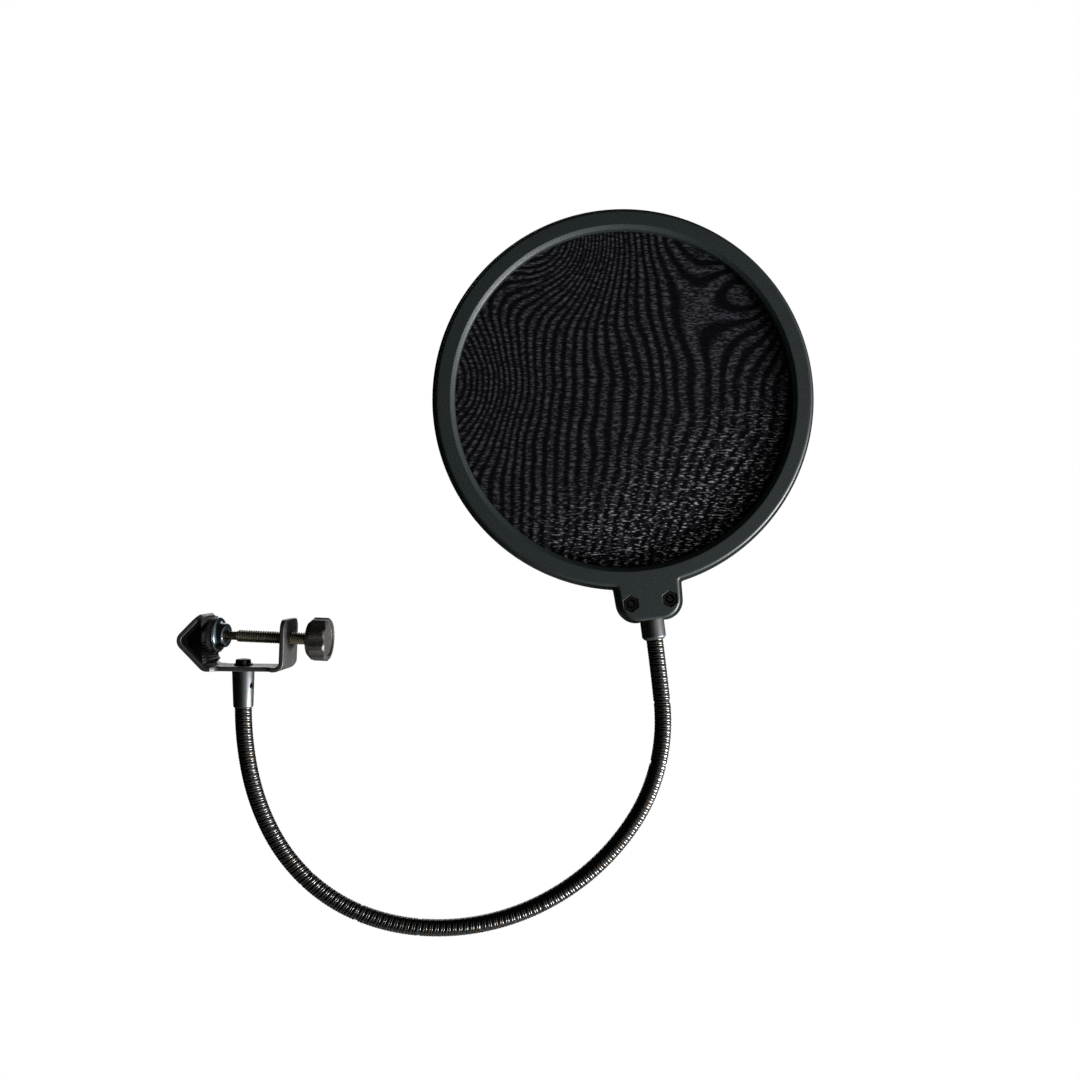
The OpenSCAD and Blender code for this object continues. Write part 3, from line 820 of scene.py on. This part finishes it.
bracket = strap("bracket", strap_path, end_rows(strap_path.length, 0.4), bracket_half_width)
screw_hole_r, bolt_clear_r = 2.62, 2.1
screw_hole = along_x(SCREW, (20, 0, 0), (1, 0, 0), (0, 1, 0))
cut(bracket, prism(circle(screw_hole_r), 0, 14), screw_hole)
UP = along_x(POST, (0, 0, 0), (0, 0, 1), (1, 0, 0))
cut(bracket, prism(circle(bolt_clear_r), -1, strap_t + 1), UP)
finish_piece(bracket, bracket_coat, "clamp", "clamp_bracket")

upper_l = jaw_leg - strap_t - 0.4
lower_l = (valley_h - strap_t) * math.sqrt(2) - bend_r * math.tan(math.pi / 8) - 0.4
liner_slip = 0.02
# How far the flat in the liner's corner stands in from where its legs would meet
liner_fill = 1.8
ridge_start, ridge_pitch, ridge_r, ridges = 5.0, 1.4, 0.4, 6


def liner_leg(length, side):
    """One leg's outline, from the flat in the jaw's corner round the end of the leg."""
    flat_end = (liner_t * math.sqrt(2) + liner_fill) * math.sqrt(2) - liner_t
    along, radii = [(flat_end, liner_t)], [1.0]
    for i in range(ridges):
        bump = arc((ridge_start + i * ridge_pitch, liner_t), ridge_r, 180, 0, 8)
        along, radii = along + bump, radii + [0] * len(bump)
    along, radii = along + [(length, liner_t), (length, 0)], radii + [0.35, 0.15]
    fold_x = corner_x + (strap_t + liner_slip) * math.sqrt(2)
    points = [(fold_x + (a + t) * diagonal[0], valley_h + side * (a - t) * diagonal[1]) for a, t in along]
    return points, radii


def liner_piece(name):
    """The rubber in the jaw: one outline across both legs, with its edges rounded at both sides."""
    (low, low_r), (high, high_r) = liner_leg(lower_l, -1), liner_leg(upper_l, 1)
    fold_at = (corner_x + (strap_t + liner_slip + bend_r) * math.sqrt(2), valley_h)
    fold_round = arc(fold_at, bend_r, 225, 135, 12)
    outline = fillet(low + fold_round + high[::-1], low_r + [0] * len(fold_round) + high_r[::-1], 5)
    half = jaw_w / 2 - 0.3
    rounding = [(0, 0.25), (0.08, 0.08), (0.25, 0)]
    rows = [(move - half, less) for move, less in rounding]
    rows += [(half - move, less) for move, less in reversed(rounding)]
    rings = [[(u, y, z) for u, z in inset(outline, less)] for y, less in rows]
    return mesh_object(name, *skin(rings), CLAMP, 30)


finish_piece(liner_piece("jaw_liner_ribbed"), grip_rubber, "clamp", "jaw_liner")

# ---- Swivel bolt ----

washer_z, head_z, head_top = strap_t + 0.05, strap_t + 0.75, strap_t + 2.55
washer_r, washer_bore, shank_r, shank_l = 3.85, 2.05, 2.0, 8
outline = fillet([(washer_z, washer_bore), (washer_z, washer_r), (head_z, washer_r), (head_z, washer_bore)],
                 [0, 0.2, 0.2, 0], 3)
washer = lathe("swivel_washer", outline, UP, loop=True)
finish_piece(washer, fastener_steel, "swivel", "pivot_washer")
outline = fillet([(-shank_l, shank_r), (head_z, shank_r), (head_z, 3.25), (head_top, 2.95), (head_top, 0.5)],
                 [0, 0, 0.2, 0.5, 0], 5, closed=False)
bolt = lathe("swivel_bolt", outline, UP)
key_af, key_mouth = 2.5, 0.15
cut(bolt, prism(polygon(6, key_af), head_z + 0.6, head_top, key_mouth, key_mouth), UP)
finish_piece(bolt, fastener_steel, "swivel", "pivot_bolt")

# ---- Pad, screw and knob, with x from the ball's centre ----

pad_face_x, pad_back_x = -4.9, -2.6
pad_r, shoe_r, hub_r, hub_x = 7.0, 7.2, 5.0, 1.7
flare_r, socket_r = 1.75, 2.36
outline = fillet([(pad_face_x, 0.5), (pad_face_x, pad_r), (pad_back_x, pad_r), (pad_back_x, 0.5)],
                 [0, 0.5, 0.15, 0], 5, closed=False)
finish_piece(lathe("pad_disc", outline, PAD), pad_rubber, "pad", "pad_face")

flare = arc((-0.25, hub_r + flare_r), flare_r, 187, 270, 10)
socket = arc((0, 0), socket_r, 63, 170, 14)
hub = fillet([flare[-1], (hub_x, hub_r), (hub_x, 2.1), socket[0]], [0, 0.9, 0.25, 0], 5, closed=False)
outline = fillet([(pad_back_x, 0.4), (pad_back_x, shoe_r), (-1.95, shoe_r)], [0, 0.2, 0.2], 4, closed=False)
outline += flare + hub[1:] + socket[1:]
finish_piece(lathe("pad_cup", outline, PAD), shoe_steel, "pad", "pad_shoe")

thread_pitch, thread_core, thread_crest = 1.0, 1.92, 2.5
screw_neck_r = 1.75
neck_x, thread_x, knob_x, knob_l = 1.25, 5.7, 35.9, 8.6


def threaded(name):
    """The clamp screw: a plain neck, then a right-hand thread up to the knob."""
    count = 48
    rings = [ring_at(neck_x, [screw_neck_r] * count)]
    for x in np.arange(thread_x - 0.5, knob_x + 1.5, thread_pitch / 12):
        full = min(max((x - thread_x + 0.2) / 0.9, 0), 1)
        radii = []
        for k in range(count):
            phase = (x / thread_pitch - k / count) % 1
            height = min(max(1.25 - abs(phase - 0.5) * 3.2, 0), 1)
            height = height * height * (3 - 2 * height)
            thread = thread_core + (thread_crest - thread_core) * height
            radii.append(screw_neck_r + full * (thread - screw_neck_r))
        rings.append(ring_at(x, radii))
    return mesh_object(name, *skin(rings), SCREW, 60)


finish_piece(threaded("thumb_screw"), screw_steel, "screw", "clamp_screw")

knob_r = 8.9
flutes = 9
flute_r, flute_depth = 4.0, 0.7
flute_blend = 0.12


def fluted(r, angle):
    """Radius of the knob at an angle: r, cut by the nearest flute, with a rounded edge."""
    away = (angle / TAU * flutes % 1 - 0.5) * TAU / flutes
    centre = knob_r + flute_r - flute_depth
    room = flute_r ** 2 - (centre * math.sin(away)) ** 2
    if room <= 0:
        return r
    wall = centre * math.cos(away) - math.sqrt(room)
    low = min(r, wall)
    over = math.exp((low - r) / flute_blend) + math.exp((low - wall) / flute_blend)
    return low - flute_blend * math.log(over)


def knob_piece(name):
    """The knob: chamfered at both ends, dished at its outer face, and fluted outside the dish."""
    end = knob_x + knob_l
    back, rim, dish = 2.2, 0.8, 6.8
    outline = fillet([(knob_x, thread_crest + 0.05), (knob_x, knob_r - back), (knob_x + back, knob_r),
                      (end - rim, knob_r), (end, knob_r - rim), (end, dish), (end - rim, dish - 0.1),
                      (end - rim, 0.5)], [0, 0.4, 0.5, 0.25, 0.25, 0.2, 0.2, 0], 4, closed=False)
    count = flutes * 28
    rings = []
    for x, r in outline:
        rings.append(ring_at(x, [fluted(r, TAU * k / count) if r > dish + 0.1 else r for k in range(count)]))
    return mesh_object(name, *skin(rings), SCREW, 30)


finish_piece(knob_piece("thumb_knob"), knob_plastic, "screw", "knob")


# ---- Studio ----

floor_r, floor_drop = 1.5, 1.25
fade_start, fade_end = 0.7, 1.45


def floor_material():
    """Pale floor that fades into the white backdrop at its edge."""
    look = Look("floor_pale", (0.82, 0.82, 0.82), 0.7)
    length = look.node("ShaderNodeVectorMath", operation="LENGTH")
    look.link(look.place, length.inputs[0])
    clear = look.node("ShaderNodeBsdfTransparent")
    blend = look.node("ShaderNodeMixShader")
    look.link(look.ramp(length.outputs["Value"], fade_start, fade_end), blend.inputs[0])
    look.link(look.shader.outputs[0], blend.inputs[1])
    look.link(clear.outputs[0], blend.inputs[2])
    look.link(blend.outputs[0], look.tree.nodes["Material Output"].inputs["Surface"])
    return look.material


# The backdrop's glow grows between these two cosines of the angle to its brightest direction
glow_start, glow_full = 0.3, 0.85


def backdrop(toward, dim, bright):
    """White to the camera. As light it is a soft glow, brightest in one direction."""
    world = bpy.data.worlds.new("studio")
    bpy.context.scene.world = world
    world.use_nodes = True
    nodes, links = world.node_tree.nodes, world.node_tree.links
    nodes.clear()
    seen, glow = nodes.new("ShaderNodeBackground"), nodes.new("ShaderNodeBackground")
    seen.inputs["Color"].default_value = glow.inputs["Color"].default_value = (1, 1, 1, 1)
    way, dot = nodes.new("ShaderNodeTexCoord"), nodes.new("ShaderNodeVectorMath")
    dot.operation = "DOT_PRODUCT"
    links.new(way.outputs["Generated"], dot.inputs[0])
    dot.inputs[1].default_value = Vector(toward).normalized()
    share = nodes.new("ShaderNodeMapRange")
    share.interpolation_type = "SMOOTHSTEP"
    links.new(dot.outputs["Value"], share.inputs["Value"])
    for key, value in (("From Min", glow_start), ("From Max", glow_full), ("To Min", dim),
                       ("To Max", bright)):
        share.inputs[key].default_value = value
    links.new(share.outputs["Result"], glow.inputs["Strength"])
    ray, mix = nodes.new("ShaderNodeLightPath"), nodes.new("ShaderNodeMixShader")
    out = nodes.new("ShaderNodeOutputWorld")
    links.new(ray.outputs["Is Camera Ray"], mix.inputs[0])
    links.new(glow.outputs[0], mix.inputs[1])
    links.new(seen.outputs[0], mix.inputs[2])
    links.new(mix.outputs[0], out.inputs["Surface"])


def soft_light(name, direction, distance, size, watts):
    """A white area light in that direction from the middle of the object, facing it."""
    light = bpy.data.lights.new(name, "AREA")
    light.shape, light.size, light.energy = "DISK", size, watts
    obj = bpy.data.objects.new(name, light)
    bpy.context.collection.objects.link(obj)
    way = Vector(direction).normalized()
    obj.location = (Vector(cad_box[0]) + Vector(cad_box[1])) / 2 + way * distance
    obj.rotation_euler = way.to_track_quat("Z", "Y").to_euler()


floor_edge = [(x, y, 0) for x, y in circle(floor_r, 96)]
floor_disc = mesh_object("floor", floor_edge, [tuple(range(len(floor_edge)))], Matrix.Identity(4))
floor_disc.location = (hoop_at.x / 2, 0, -floor_drop)
floor_disc.data.materials.append(floor_material())

backdrop((0.85, -0.3, -0.4), 0.015, 1.1)
soft_light("key", (0.85, -0.26, -0.46), 1.1, 0.35, 24)
soft_light("side", (0.9, -0.02, -0.42), 1.1, 0.35, 22)
soft_light("back", (-0.1, 0.9, 0.4), 1.4, 0.9, 4)

camera_from_post = Vector((122.1, -523, 53.4))
camera_data = bpy.data.cameras.new("camera")
camera_data.lens = 42.36
camera = bpy.data.objects.new("camera", camera_data)
bpy.context.collection.objects.link(camera)
camera.location = post + camera_from_post * MM
camera.rotation_euler = (math.pi / 2, 0, 0)
bpy.context.scene.camera = camera
bpy.context.scene.view_settings.view_transform = "Standard"
